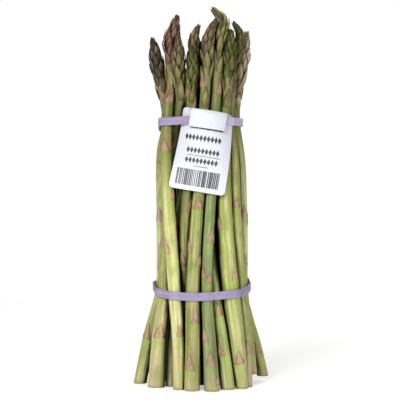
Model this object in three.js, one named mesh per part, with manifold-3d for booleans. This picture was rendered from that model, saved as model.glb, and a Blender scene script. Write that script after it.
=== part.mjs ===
// A tied bundle of green asparagus standing on its cut ends, held by two flat rubber
// bands, with a blank produce card under the upper one. Millimetres, Z up, front to -Y,
// origin under the middle of the bundle at the height of the cut ends.
import * as THREE from 'three';
import { mergeVertices } from 'three/addons/utils/BufferGeometryUtils.js';
import Module from 'manifold-3d';

const wasm = await Module();
wasm.setup();

// Heights at which the bundle is described.
const lowBandHeight = 60;
const highBandHeight = 166;
const levelStep = 6;
const levelCount = 41;

// How closely the spears lie together, surface to surface.
const spearGap = 0.8;
const settleRounds = 400;
const lastRounds = 60;
const pushShare = 0.35;
const shiftEase = 0.997;

// Spears.
const spearSides = 8;
const ringHeights = [20, 40, 53, 65, 88, 116, 144, 162, 178];
const headLength = 28;
const bractCount = 10;
const headFullness = [[0, 0.95], [0.2, 1], [0.42, 1], [0.62, 0.8], [0.82, 0.44], [1, 0.05]];
const scaleLength = 8.5;
const scaleWidth = 5.8;
const scaleThickness = 1.6;
const scaleStand = 0.6;
const pressedStand = 0.25;
const scaleSink = 1.4;
const bractThickness = 1.9;
const bractStand = 1.1;
const bractLengths = [10, 5];
const goldenAngle = 137.5;

// Scales that no one placed: rows of them up the outer side, fewer where they are hidden,
// and kept clear of the bands.
const openRows = [22, 84, 112, 146];
const hiddenRows = [100, 140];
const innerReach = 14;
const clearBelowBand = 14;
const clearAboveBand = 5;

// How far left and right the bundle reaches at each height.
const leftLimit = [[0, -43], [15, -39.5], [28, -36.9], [41, -33.8], [53, -29.8], [66, -27.9],
  [117, -27.9], [149, -28], [160, -26], [170, -24.2], [180, -25.4], [193, -28.9], [206, -33.6]];
const rightLimit = [[0, 46], [15, 43.4], [28, 38.4], [41, 34.4], [53, 32], [66, 30.8], [117, 30.2],
  [142, 28.8], [155, 27.2], [166, 25.6], [181, 26], [193, 28.6], [212, 31.8]];
const bractRoom = 0.85;

// Bands and card.
const bandWidth = 5;
const bandThickness = 1;
const cardGap = 1.1;
const bandGap = 0.55;
const bandSteps = 64;
const cardThickness = 0.6;
const cardCorner = 2.5;
const cardTilt = THREE.MathUtils.degToRad(9.4);
const cardBow = 0.004;
const cardTop = [5.9, 172.1];
const cardFront = [[0, -25.6], [10, -26], [50.5, -26.6]];
const cardBend = [[0, 1 / 19], [14, 1 / 21], [50.5, 1 / 120]];
const cardBendCentre = 4;
const cardMarginEdges = [-14, 14];
const bandOnCard = [3.5, 6, 8.5];

// Left and right ends of the stretch behind the card where spears keep clear of it, and
// how far that goes on above and below it.
const leftReach = [[0, -11], [14, -12.5], [32.5, -17], [50.5, -21]];
const rightReach = [[0, 22], [50.5, 18]];
const endReach = 4;
const cardWidth = 35;
const cardLength = 50.5;
const cardParts = [11, 28];

// The tongue, across and down the card, and the slot that frees it on three sides.
const tongueLeft = -10;
const tongueRight = 9.9;
const tongueTop = 1.1;
const tongueEnd = 11.3;
const slotWidth = 0.6;
const tongueLift = [[0, 2.2], [1.1, 2.8], [3, 3.1], [11.3, 2.8]];
const liftFadeAcross = 4;
const liftFadeDown = 1.8;

const colours = {
  green: '#a3ae5e',
  pale: '#c9cd84',
  blueGreen: '#97a873',
  tan: '#b3a273',
  olive: '#8f9150',
  band: '#a997c4',
  card: '#edf0f7',
};

// Spears that show in the front: points of the centre line from the cut end to the tip,
// radii at the cut end, the lower band and the upper band, and the scales that face the
// front as [height, bearing], the bearing turning from the front towards +X.
const frontSpears = [
  {
    name: 'spear_left_outer',
    colour: 'green',
    path: [[-39.4, 3, 0], [-33.4, 3, 30], [-26.2, 4, 60], [-24.6, 3, 100], [-25, 0, 146],
      [-21.4, -5, 166], [-22.5, -7, 176], [-24.2, -8, 186], [-27.2, -8, 200], [-30.8, -8, 220]],
    radii: [4.2, 3.9, 3.4],
    headSize: 1.1,
    scales: [[28, -34], [103, -30], [60, 20], [140, -10], [176, 0]],
  },
  {
    name: 'spear_left_tan',
    colour: 'tan',
    path: [[-26.3, -14, 0], [-24.8, -14, 30], [-21.6, -12, 60], [-19.5, -8, 100], [-16.5, -5, 140],
      [-13.6, -10, 172], [-13, -16, 186], [-13.8, -15.6, 200], [-14, -14.6, 220]],
    radii: [5.4, 4.2, 3.4],
    scales: [[30.5, 0], [87, -25], [120, 10], [150, 0]],
  },
  {
    name: 'spear_left_pale',
    colour: 'pale',
    path: [[-12.4, -25, 0], [-13, -22.5, 30], [-15.2, -20.5, 60], [-17.6, -18.5, 100],
      [-19.4, -16, 140], [-17.4, -14, 172], [-14.8, -10, 186], [-15.6, -8, 202], [-15.8, -7, 217],
      [-12.2, -7, 234]],
    radii: [3.6, 4, 3.6],
    headSize: 1.2,
    scales: [[32, 19], [83, -55], [116, 55], [146, -20], [176, 10]],
  },
  {
    name: 'spear_left_inner',
    colour: 'green',
    path: [[-18, -11, 0], [-16.5, -9, 30], [-13.8, -7, 60], [-13.4, -8, 100], [-13.4, -10, 140],
      [-9.8, -10, 172], [-7, -12, 186], [-5, -12, 202], [-6, -12, 219], [-2.8, -11, 227.5]],
    radii: [4, 3.9, 3.2],
    scales: [[158, 0], [170, 0], [184, 10]],
  },
  {
    name: 'spear_front_olive',
    colour: 'olive',
    path: [[-8, -9, 0], [-9, -9.5, 30], [-10, -12.6, 60], [-10.6, -18.2, 100], [-8.4, -20, 140],
      [-9, -19.6, 172], [-9, -20.4, 186], [-7.6, -20.6, 201], [-8.4, -20, 213]],
    radii: [3.8, 3.6, 3.1],
    scales: [[76, -30], [109, 50], [170, 60], [180, -40]],
  },
  {
    name: 'spear_front_middle',
    colour: 'green',
    path: [[-5.3, -29, 0], [-4.7, -26, 30], [-4.6, -22.8, 60], [-2.4, -22.4, 100], [0.8, -22, 140],
      [2.5, -20.8, 172], [4.3, -19.6, 200], [5.6, -19, 219], [10.4, -18, 230.5]],
    radii: [4.7, 4.3, 3.2],
    scales: [[12, -25], [40, 25], [76, 50], [84, -60], [111, 8], [150, 0], [186, -50]],
  },
  {
    name: 'spear_front_right',
    colour: 'blueGreen',
    path: [[7.6, -30, 0], [6.2, -26.5, 30], [4.8, -23, 60], [5.9, -22, 100], [8.9, -20.4, 140],
      [10.8, -18.6, 172], [12.4, -15.5, 200], [14.8, -12, 222], [15.8, -9, 230.5], [9, -6, 238.5]],
    radii: [4.9, 3.5, 3.2],
    scales: [[3, 50], [14.6, 0], [29, -45], [48, 25], [68, -45], [90, 40], [140, 0], [182, 40]],
  },
  {
    name: 'spear_right_inner',
    colour: 'green',
    path: [[18.6, -23.5, 0], [15, -21.5, 30], [9.8, -17.4, 60], [6.6, -14.6, 90], [6, -12.6, 140],
      [8.6, -10, 172], [13.4, -6, 200], [18.4, -3, 226]],
    radii: [4.5, 3.7, 3.3],
    scales: [[44, 10], [20, -30], [120, 0], [192, 0]],
  },
  {
    name: 'spear_right_pale',
    colour: 'pale',
    path: [[24.6, -20.5, 0], [21.6, -20, 30], [18.6, -19.4, 60], [16, -19.4, 100],
      [16.4, -17.4, 140], [18, -15.4, 172], [19.2, -14.4, 200], [19.6, -13, 224]],
    radii: [3.9, 5.3, 3.2],
    headSize: 0.85,
    scales: [[15, 0], [67, 40], [98, -55], [135, 10], [178, 20]],
  },
  {
    name: 'spear_right_narrow',
    colour: 'pale',
    path: [[23.4, -9, 0], [21.4, -8.6, 30], [18.4, -9, 60], [17.4, -9.4, 100], [16, -6.6, 140],
      [15.4, -3, 172], [17.5, 0.6, 200], [15.5, 2, 214]],
    radii: [3.4, 3.3, 3],
    scales: [[114, 0], [70, 30], [190, 0]],
  },
  {
    name: 'spear_right_olive',
    colour: 'pale',
    path: [[29.4, -13.4, 0], [28.6, -12.6, 30], [25.6, -11.6, 60], [22.8, -12.4, 100],
      [22.4, -11.4, 140], [21, -8, 172], [20.8, -8.6, 200], [24.6, -8, 214], [25.6, -7, 221],
      [21, -6, 230]],
    radii: [3.3, 3.5, 3.2],
    headSize: 0.8,
    scales: [[112, 10], [149, 0], [188, 20], [20, 10]],
  },
  {
    name: 'spear_right_outer',
    colour: 'green',
    path: [[33, -5.4, 7], [30.8, -5, 30], [27.4, -4, 60], [27, -3.6, 100], [26, -1.8, 140],
      [22.6, -0.4, 172], [26.4, -2, 200], [30, -3, 224.5]],
    radii: [3.2, 3.3, 3],
    scales: [[36, 0], [105, 28], [75, 20], [185, 30]],
  },
  {
    name: 'spear_right_far',
    colour: 'green',
    path: [[42.8, 15, 3], [36.8, 14, 30], [28.4, 10, 60], [25.4, 7.6, 100], [25, 8.6, 140],
      [21.6, 9, 172], [24, 10, 200], [25, 10, 213]],
    radii: [3.8, 3, 3],
    scales: [[44, -20], [16, 0]],
  },
];

// Spears inside and at the back, by their place at the lower band and the height of
// their tips. They spread towards the cut ends and the tips by one rule.
const hiddenSpears = [
  [-12.5, 1, 208], [0.5, -2, 218], [12.5, -3, 214], [20.5, 3, 208], [-19.5, 9, 200], [-5.5, 6, 221],
  [4, 8, 212], [13, 7.5, 219], [19, 14, 205], [-12, 17.5, 209], [-1.5, 17.5, 215], [8.5, 18, 205],
];
const hiddenColours = ['green', 'olive', 'green', 'pale'];
const hiddenRadii = [4.4, 4.2, 3.4];
const hiddenSpread = [[1.36, 0], [1.16, 30], [1, 60], [0.95, 110], [0.84, 170], [0.96, 195]];
const tipSpread = 1.02;
const leanDrift = 1.2;
const sizeDrift = 0.07;

// A repeatable draw between -1 and 1.
function makeDraw(seed) {
  let state = seed;
  return () => {
    state = (state * 16807) % 2147483647;
    return (state / 2147483647) * 2 - 1;
  };
}

// Value at z of a smooth curve through stations of [z, value].
function through(stations, z) {
  const last = stations.length - 1;
  if (z <= stations[0][0]) return stations[0][1];
  if (z >= stations[last][0]) return stations[last][1];
  let k = 0;
  while (stations[k + 1][0] < z) k += 1;
  const [z0, v0] = stations[k];
  const [z1, v1] = stations[k + 1];
  const before = stations[Math.max(k - 1, 0)];
  const after = stations[Math.min(k + 2, last)];
  const slope0 = (v1 - before[1]) / (z1 - before[0]);
  const slope1 = (after[1] - v0) / (after[0] - z0);
  const span = z1 - z0;
  const t = (z - z0) / span;
  const t2 = t * t;
  const t3 = t2 * t;
  return v0 * (2 * t3 - 3 * t2 + 1) + slope0 * span * (t3 - 2 * t2 + t)
    + v1 * (3 * t2 - 2 * t3) + slope1 * span * (t3 - t2);
}

function hiddenSpear([x, y, tip], index) {
  const draw = makeDraw(101 + 37 * index);
  const size = 1 + sizeDrift * draw();
  const at = ([spread, z]) => [x * spread + leanDrift * draw(), y * spread + leanDrift * draw(), z];
  return {
    name: `spear_inner_${String(index + 1).padStart(2, '0')}`,
    colour: hiddenColours[index % hiddenColours.length],
    path: [...hiddenSpread, [tipSpread, tip]].map(at),
    radii: hiddenRadii.map((radius) => radius * size),
    scales: [],
  };
}

const spears = [...frontSpears, ...hiddenSpears.map(hiddenSpear)];
for (const spear of spears) {
  spear.foot = spear.path[0][2];
  spear.tip = spear.path[spear.path.length - 1][2];
  spear.stations = [0, 1].map((axis) => spear.path.map((point) => [point[2], point[axis]]));
}

// Radius of a spear's stem and of the core of its head.
function coreRadius(spear, z) {
  const [foot, low, high] = spear.radii;
  const stem = through([[spear.foot, foot], [lowBandHeight, low], [highBandHeight, high]], z);
  const t = (z - spear.tip + headLength) / headLength;
  const size = 1 + ((spear.headSize ?? 1) - 1) * Math.min(3 * t, 1);
  return t > 0 ? stem * through(headFullness, t) * size : stem;
}

// Room that a spear needs with its scales.
function roomRadius(spear, z) {
  const t = (z - spear.tip + headLength) / headLength;
  const bracts = t > 0 ? bractRoom * Math.min(1, t * 4) * Math.min(1, (1 - t) * 4) : 0;
  return coreRadius(spear, z) + bracts;
}

// The spears are pushed apart level by level until none touches another. The shifts
// are smoothed along each spear, so it stays a fair curve.
function settle() {
  const heights = Array.from({ length: levelCount }, (_, k) => k * levelStep);
  for (const spear of spears) {
    spear.shift = heights.map(() => [0, 0]);
    spear.first = Math.ceil(spear.foot / levelStep);
    spear.last = Math.floor(spear.tip / levelStep);
    spear.room = heights.map((z) => roomRadius(spear, z));
    spear.aim = heights.map((z) => spear.stations.map((stations) => through(stations, z)));
  }
  for (let round = 0; round < settleRounds + lastRounds; round += 1) {
    const push = spears.map(() => heights.map(() => [0, 0]));
    for (let i = 0; i < spears.length; i += 1) {
      for (let j = i + 1; j < spears.length; j += 1) pushApart(i, j, push);
    }
    spears.forEach((spear, i) => moveSpear(spear, push[i], round < settleRounds));
  }
  for (const spear of spears) {
    spear.shiftStations = [0, 1].map((axis) => spear.shift
      .map((shift, k) => [heights[k], shift[axis]])
      .slice(spear.first, spear.last + 1));
  }
}

function pushApart(i, j, push) {
  const a = spears[i];
  const b = spears[j];
  for (let k = Math.max(a.first, b.first); k <= Math.min(a.last, b.last); k += 1) {
    const dx = a.aim[k][0] + a.shift[k][0] - b.aim[k][0] - b.shift[k][0];
    const dy = a.aim[k][1] + a.shift[k][1] - b.aim[k][1] - b.shift[k][1];
    const distance = Math.hypot(dx, dy);
    const lack = a.room[k] + b.room[k] + spearGap - distance;
    if (lack > 0) {
      const part = (pushShare * lack) / distance;
      push[i][k][0] += dx * part;
      push[i][k][1] += dy * part;
      push[j][k][0] -= dx * part;
      push[j][k][1] -= dy * part;
    }
  }
}

// The sideways and backward push that keeps a spear inside the bundle's outline and
// behind the card.
function holdBack(spear, k) {
  const z = k * levelStep;
  const x = spear.aim[k][0] + spear.shift[k][0];
  const y = spear.aim[k][1] + spear.shift[k][1];
  const tooLeft = Math.max(0, through(leftLimit, z) + spear.room[k] - x);
  const tooRight = Math.max(0, x + spear.room[k] - through(rightLimit, z));
  const hold = [pushShare * (tooLeft - tooRight), 0];
  const down = (cardTop[1] - z) / Math.cos(cardTilt);
  const behindCard = down > -endReach && down < cardLength + endReach
    && x > through(leftReach, down) && x < through(rightReach, down);
  if (behindCard) {
    const radius = 1 / through(cardBend, down);
    const fromCentre = [x - cardBendCentre, y - through(cardFront, down) - radius];
    const distance = Math.hypot(...fromCentre);
    const tooNear = distance + spear.room[k] + cardGap - radius;
    if (tooNear > 0 && fromCentre[1] < 0) {
      hold[0] -= (pushShare * tooNear * fromCentre[0]) / distance;
      hold[1] -= (pushShare * tooNear * fromCentre[1]) / distance;
    }
  }
  return hold;
}

function moveSpear(spear, push, smoothing) {
  const moved = spear.shift.map((shift, k) => {
    if (k < spear.first || k > spear.last) return shift;
    const hold = holdBack(spear, k);
    return [0, 1].map((axis) => shift[axis] + push[k][axis] + hold[axis]);
  });
  spear.shift = moved.map((shift, k) => {
    if (!smoothing || k < spear.first || k > spear.last) return shift;
    const below = moved[Math.max(k - 1, spear.first)];
    const above = moved[Math.min(k + 1, spear.last)];
    const even = (axis) => 0.5 * shift[axis] + 0.25 * (below[axis] + above[axis]);
    return [shiftEase * even(0), shiftEase * even(1)];
  });
}

// Centre of a settled spear at a height.
function centre(spear, z) {
  const clamped = Math.min(Math.max(z, spear.foot), spear.tip);
  const [x, y] = [0, 1].map(
    (axis) => through(spear.stations[axis], clamped) + through(spear.shiftStations[axis], clamped),
  );
  return new THREE.Vector3(x, y, z);
}

// Point at a height, bearing and distance from the spear's centre line, square to it.
function onSpear(spear, z, bearing, distance) {
  const here = centre(spear, z);
  const reach = 1.5;
  const along = centre(spear, Math.min(z + reach, spear.tip));
  along.sub(centre(spear, Math.max(z - reach, spear.foot))).normalize();
  if (z < spear.foot + 0.1) along.set(0, 0, 1);
  const back = new THREE.Vector3(0, 1, 0);
  back.addScaledVector(along, -back.dot(along)).normalize();
  const right = new THREE.Vector3().crossVectors(back, along);
  here.addScaledVector(right, Math.sin(bearing) * distance);
  here.addScaledVector(back, -Math.cos(bearing) * distance);
  return here;
}

// Moves every vertex of a geometry and keeps only positions.
function reshape(geometry, move) {
  geometry.deleteAttribute('normal');
  geometry.deleteAttribute('uv');
  const position = geometry.getAttribute('position');
  for (let i = 0; i < position.count; i += 1) {
    const moved = move(new THREE.Vector3().fromBufferAttribute(position, i));
    position.setXYZ(i, moved.x, moved.y, moved.z);
  }
  return mergeVertices(geometry, 1e-4);
}

function toSolid(geometry) {
  return new wasm.Manifold(new wasm.Mesh({
    numProp: 3,
    vertProperties: new Float32Array(geometry.getAttribute('position').array),
    triVerts: new Uint32Array(geometry.getIndex().array),
  }));
}

function toGeometry(solid) {
  const mesh = solid.getMesh();
  const geometry = new THREE.BufferGeometry();
  geometry.setAttribute('position', new THREE.BufferAttribute(mesh.vertProperties, 3));
  geometry.setIndex(new THREE.BufferAttribute(mesh.triVerts, 1));
  geometry.computeVertexNormals();
  return geometry;
}

// Stem and head core as one turned body, bent along the spear's centre line.
function stemSolid(spear) {
  const neck = spear.tip - headLength;
  const rings = [
    spear.foot,
    ...ringHeights.filter((z) => z > spear.foot + 4 && z < neck - 6),
    ...[0, 0.3, 0.6, 0.85].map((t) => neck + t * headLength),
  ];
  const profile = [new THREE.Vector2(0, spear.foot)];
  for (const z of rings) profile.push(new THREE.Vector2(coreRadius(spear, z), z));
  profile.push(new THREE.Vector2(0, spear.tip));
  const body = new THREE.LatheGeometry(profile, spearSides);
  return toSolid(reshape(body, (point) => {
    const distance = Math.hypot(point.x, point.z);
    return onSpear(spear, point.y, Math.atan2(point.x, point.z), distance);
  }));
}

// A triangular scale: a flat cone laid up the spear with its root sunk in.
function scaleSolid(spear, { z, bearing, length, width, thickness, stand }) {
  const cone = new THREE.ConeGeometry(0.5, 1, 4, 1, false, 0);
  const root = coreRadius(spear, z);
  const end = coreRadius(spear, Math.min(z + length, spear.tip)) + stand;
  return toSolid(reshape(cone, (point) => {
    const t = point.y + 0.5;
    const sunk = point.z < 0 ? scaleSink * (1 - t) : 0;
    const distance = root + t * (end - root) + (point.z - 0.5) * thickness * (1 - t) - sunk;
    const turn = (point.x * width) / root;
    return onSpear(spear, z + t * length, bearing + turn, Math.max(distance, 0.2));
  }));
}

// Where a spear's scales grow: those named for it, then others up the hidden side, then
// the bracts of the head in a close spiral.
function scalesOf(spear, index) {
  const draw = makeDraw(7 + 53 * index);
  const neck = spear.tip - headLength;
  const placed = spear.scales.map(([z, degrees]) => (
    { z, bearing: THREE.MathUtils.degToRad(degrees), stand: scaleStand }));
  const { x, y } = centre(spear, lowBandHeight);
  const outside = Math.atan2(x, -y);
  const buried = Math.hypot(x, y) < innerReach;
  const shown = placed.length > 0;
  const stand = shown || buried ? pressedStand : scaleStand;
  const rows = (shown || buried ? hiddenRows : openRows).map((z, k) => {
    const turn = (k % 2 ? 1 : -1) * 0.6 + 0.3 * draw();
    return { z: z + 5 * draw(), bearing: (shown ? Math.PI : outside) + turn, stand };
  });
  const onStem = [...placed, ...rows].filter((scale) => scale.z < neck - 4);
  for (const scale of onStem) {
    for (const band of [lowBandHeight, highBandHeight]) {
      if (scale.z > band - clearBelowBand && scale.z < band + clearAboveBand) {
        scale.z = band + clearAboveBand;
      }
    }
  }
  for (const scale of onStem) {
    const size = 1 + 0.15 * draw();
    scale.length = scaleLength * size;
    scale.width = scaleWidth * size;
    scale.thickness = scaleThickness;
  }
  const bracts = [];
  for (let k = 0; k < bractCount; k += 1) {
    const t = (k + 0.3) / bractCount;
    const z = neck - 3 + t * (headLength - 3);
    const bearing = THREE.MathUtils.degToRad(goldenAngle * k + 90 * draw());
    const length = THREE.MathUtils.lerp(...bractLengths, t);
    const width = coreRadius(spear, z) * 2;
    bracts.push({ z, bearing, length, width, thickness: bractThickness, stand: bractStand });
  }
  return [...onStem, ...bracts].filter((scale) => scale.z + scale.length < spear.tip + 0.5);
}

function spearMesh(spear, index) {
  let solid = stemSolid(spear);
  for (const scale of scalesOf(spear, index)) solid = solid.add(scaleSolid(spear, scale));
  return named(spear.name, toGeometry(solid), colours[spear.colour], 0.55);
}

// Height of a band's middle at a bearing: it dips where it has slipped.
function lowBandAt(bearing) {
  return lowBandHeight + 2.4 - 5 * Math.cos(bearing) + 0.6 * Math.sin(bearing);
}

function highBandAt(bearing) {
  return highBandHeight - 1 + 1.3 * Math.cos(bearing) + 1.5 * Math.sin(bearing)
    - 1.2 * Math.sin(2 * bearing);
}

// The spears cut level at a height, as circles, wider where a spear leans.
function cutAt(z) {
  return spears.filter((spear) => z > spear.foot && z < spear.tip).map((spear) => {
    const here = centre(spear, z);
    const lean = centre(spear, z + 1).distanceTo(here);
    return { x: here.x, y: here.y, radius: coreRadius(spear, z) * lean };
  });
}

// A stretched loop: at each bearing it touches whatever stands out furthest.
function bandMesh(name, heightAt, others) {
  const inner = [];
  const outer = [];
  for (let k = 0; k < bandSteps; k += 1) {
    const bearing = (k * 2 * Math.PI) / bandSteps;
    const out = new THREE.Vector2(Math.sin(bearing), -Math.cos(bearing));
    const middle = heightAt(bearing);
    const touched = [-1, 0, 1].flatMap((side) => cutAt(middle + (side * bandWidth) / 2)).concat(others);
    const reach = (circle) => circle.x * out.x + circle.y * out.y + circle.radius;
    const far = touched.reduce((best, circle) => (reach(circle) > reach(best) ? circle : best));
    const touch = new THREE.Vector2(far.x, far.y);
    const at = (distance) => touch.clone().addScaledVector(out, far.radius + distance);
    inner.push(at(bandGap));
    outer.push(at(bandGap + bandThickness));
  }
  const shape = new THREE.Shape(outer);
  shape.holes.push(new THREE.Path(inner));
  const loop = new THREE.ExtrudeGeometry(shape, { depth: bandWidth, bevelEnabled: false });
  const geometry = reshape(loop, (point) => {
    const middle = heightAt(Math.atan2(point.x, -point.y));
    return new THREE.Vector3(point.x, point.y, middle + point.z - bandWidth / 2);
  });
  geometry.computeVertexNormals();
  return named(name, geometry, colours.band, 0.6);
}

// How far the card stands out from its own bent sheet: the tongue is pushed out by the
// band behind it, and takes the strip above it along.
function cardLift(u, v) {
  if (v > tongueEnd + slotWidth / 2) return 0;
  const beside = Math.max(tongueLeft - u, u - tongueRight, 0);
  if (beside < slotWidth / 2) return through(tongueLift, v);
  const fade = Math.max(0, 1 - beside / liftFadeAcross) * Math.max(0, 1 - v / liftFadeDown);
  return tongueLift[0][1] * fade;
}

// Point of the card: u across, v down from its top edge, depth outwards.
function cardPoint(u, v, depth) {
  const side = Math.abs(u) - (cardWidth / 2 - cardCorner);
  const end = Math.abs(v - cardLength / 2) - (cardLength / 2 - cardCorner);
  const rounding = side > 0 && end > 0 ? Math.max(side, end) / Math.hypot(side, end) : 1;
  const across = u - Math.sign(u) * Math.max(side, 0) * (1 - rounding);
  const down = v - Math.sign(v - cardLength / 2) * Math.max(end, 0) * (1 - rounding);
  const x = cardTop[0] + across * Math.cos(cardTilt) - down * Math.sin(cardTilt) - cardBendCentre;
  const z = cardTop[1] - across * Math.sin(cardTilt) - down * Math.cos(cardTilt);
  const bend = through(cardBend, v);
  const radius = 1 / bend + depth + cardLift(u, v);
  const front = through(cardFront, v) + 1 / bend;
  return new THREE.Vector3(
    cardBendCentre + radius * Math.sin(x * bend),
    front - radius * Math.cos(x * bend),
    z,
  );
}

// While the slots are cut the sheet is bowed both ways, so it keeps its divisions.
const bow = (u, v) => cardBow * (u * u + v * v);

function slotSolid(left, right, top, bottom) {
  const slot = new THREE.BoxGeometry(right - left, bottom - top, 40);
  return toSolid(reshape(slot.translate((left + right) / 2, (top + bottom) / 2, 0), (point) => point));
}

function cardMesh() {
  const sheet = new THREE.BoxGeometry(cardWidth, cardLength, cardThickness, ...cardParts, 1);
  sheet.translate(0, cardLength / 2, cardThickness / 2);
  const bowed = reshape(sheet, (point) => point.setZ(point.z + bow(point.x, point.y)));
  const slotEnd = tongueEnd + slotWidth;
  const cut = toSolid(bowed)
    .subtract(slotSolid(tongueLeft - slotWidth, tongueLeft, tongueTop, slotEnd))
    .subtract(slotSolid(tongueRight, tongueRight + slotWidth, tongueTop, slotEnd))
    .subtract(slotSolid(tongueLeft - slotWidth, tongueRight + slotWidth, tongueEnd, slotEnd));
  const geometry = reshape(toGeometry(cut), ({ x, y, z }) => cardPoint(x, y, z - bow(x, y)));
  const corners = geometry.getIndex();
  for (let i = 0; i < corners.count; i += 3) {
    const first = corners.getX(i);
    corners.setX(i, corners.getX(i + 1));
    corners.setX(i + 1, first);
  }
  geometry.computeVertexNormals();
  return named('produce_card', geometry, colours.card, 0.5);
}

// The card's margins where the upper band presses on them.
function cardMargins() {
  const points = [];
  const slots = [tongueLeft - slotWidth, tongueRight + slotWidth];
  for (const u of [-cardWidth / 2, ...cardMarginEdges, ...slots, cardWidth / 2]) {
    for (const v of bandOnCard) {
      const { x, y } = cardPoint(u, v, cardThickness);
      points.push({ x, y, radius: 0 });
    }
  }
  return points;
}

function named(name, geometry, colour, roughness) {
  const material = new THREE.MeshStandardMaterial({ color: colour, roughness, metalness: 0 });
  const mesh = new THREE.Mesh(geometry, material);
  mesh.name = name;
  return mesh;
}

settle();

const bundle = new THREE.Group();
bundle.name = 'asparagus_bundle';
spears.forEach((spear, index) => bundle.add(spearMesh(spear, index)));
bundle.add(bandMesh('band_lower', lowBandAt, []));
bundle.add(bandMesh('band_upper', highBandAt, cardMargins()));
bundle.add(cardMesh());

export default bundle;
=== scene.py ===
import math
from functools import partial

import bmesh
import bpy
import numpy as np
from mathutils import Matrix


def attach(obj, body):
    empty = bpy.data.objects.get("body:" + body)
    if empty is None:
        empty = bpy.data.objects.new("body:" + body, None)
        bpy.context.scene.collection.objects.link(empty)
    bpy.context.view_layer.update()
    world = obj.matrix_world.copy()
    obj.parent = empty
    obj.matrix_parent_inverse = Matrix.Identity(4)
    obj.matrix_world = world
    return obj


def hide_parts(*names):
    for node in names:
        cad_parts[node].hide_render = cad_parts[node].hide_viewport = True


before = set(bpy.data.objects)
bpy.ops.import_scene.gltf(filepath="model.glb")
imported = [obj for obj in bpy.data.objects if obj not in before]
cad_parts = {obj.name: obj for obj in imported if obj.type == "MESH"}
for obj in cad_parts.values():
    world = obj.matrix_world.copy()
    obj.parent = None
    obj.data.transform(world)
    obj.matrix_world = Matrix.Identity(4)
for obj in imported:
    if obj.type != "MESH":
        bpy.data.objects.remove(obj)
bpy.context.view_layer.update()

metres = 0.001  # everything below is worked out in millimetres


def linear(hexColour):
    # sRGB hex to the linear values that shaders take
    parts = [int(hexColour[k:k + 2], 16) / 255 for k in (1, 3, 5)]
    return (*[p / 12.92 if p <= 0.04045 else ((p + 0.055) / 1.055) ** 2.4 for p in parts], 1.0)


def makeDraw(seed):
    # a repeatable draw between -1 and 1
    state = [seed]

    def draw():
        state[0] = (state[0] * 16807) % 2147483647
        return state[0] / 2147483647 * 2 - 1
    return draw


def through(stations, z):
    # smooth curve through (z, value) stations, level beyond its ends
    at, value = np.array(stations, float).T
    z = np.clip(z, at[0], at[-1])
    k = np.clip(np.searchsorted(at[1:], z), 0, len(at) - 2)
    before, after = np.maximum(k - 1, 0), np.minimum(k + 2, len(at) - 1)
    slopeIn = (value[k + 1] - value[before]) / (at[k + 1] - at[before])
    slopeOut = (value[after] - value[k]) / (at[after] - at[k])
    span = at[k + 1] - at[k]
    t = (z - at[k]) / span
    return (value[k] * (2 * t ** 3 - 3 * t ** 2 + 1) + slopeIn * span * (t ** 3 - 2 * t ** 2 + t)
            + value[k + 1] * (3 * t ** 2 - 2 * t ** 3) + slopeOut * span * (t ** 3 - t ** 2))


def fillSockets(tree, node, inputs):
    # each socket gets a value, an sRGB hex colour, or the output of another node
    for key, value in inputs.items() if isinstance(inputs, dict) else enumerate(inputs):
        if isinstance(value, bpy.types.Node):
            value = value.outputs[0]
        if isinstance(value, bpy.types.NodeSocket):
            tree.links.new(value, node.inputs[key])
        else:
            node.inputs[key].default_value = linear(value) if isinstance(value, str) else value


def addNode(tree, kind, inputs=(), stops=(), **settings):
    # one shader node: its settings, its sockets and, for a ramp, its stops
    node = tree.nodes.new("ShaderNode" + kind)
    for key, value in settings.items():
        setattr(node, key, value)
    fillSockets(tree, node, inputs)
    for k, (place, colour) in enumerate(stops):
        elements = node.color_ramp.elements
        element = elements[k] if k < len(elements) else elements.new(1.0)
        element.position = place
        element.color = linear(colour) if isinstance(colour, str) else (colour, colour, colour, 1)
    return node


def newMaterial(name):
    # a material, what adds a node to it, and what fills the sockets of its surface
    material = bpy.data.materials.new(name)
    material.use_nodes = True
    tree = material.node_tree
    surface = tree.nodes["Principled BSDF"]
    return material, partial(addNode, tree), partial(fillSockets, tree, surface)


lay = {
    "levelStep": 6, "levelCount": 41, "gap": 0.8, "rounds": 400, "lastRounds": 60,
    "pushShare": 0.35, "ease": 0.997,
    "lowBand": 60, "highBand": 166, "headLength": 28, "bractRoom": 0.85,
    "headFullness": [(0, 0.95), (0.2, 1), (0.42, 1), (0.62, 0.8), (0.82, 0.44), (1, 0.05)],
    "leftLimit": [(0, -43), (15, -39.5), (28, -36.9), (41, -33.8), (53, -29.8), (66, -27.9),
                  (117, -27.9), (149, -28), (160, -26), (170, -24.2), (180, -25.4), (193, -28.9),
                  (206, -33.6)],
    "rightLimit": [(0, 46), (15, 43.4), (28, 38.4), (41, 34.4), (53, 32), (66, 30.8), (117, 30.2),
                   (142, 28.8), (155, 27.2), (166, 25.6), (181, 26), (193, 28.6), (212, 31.8)],
}

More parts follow.
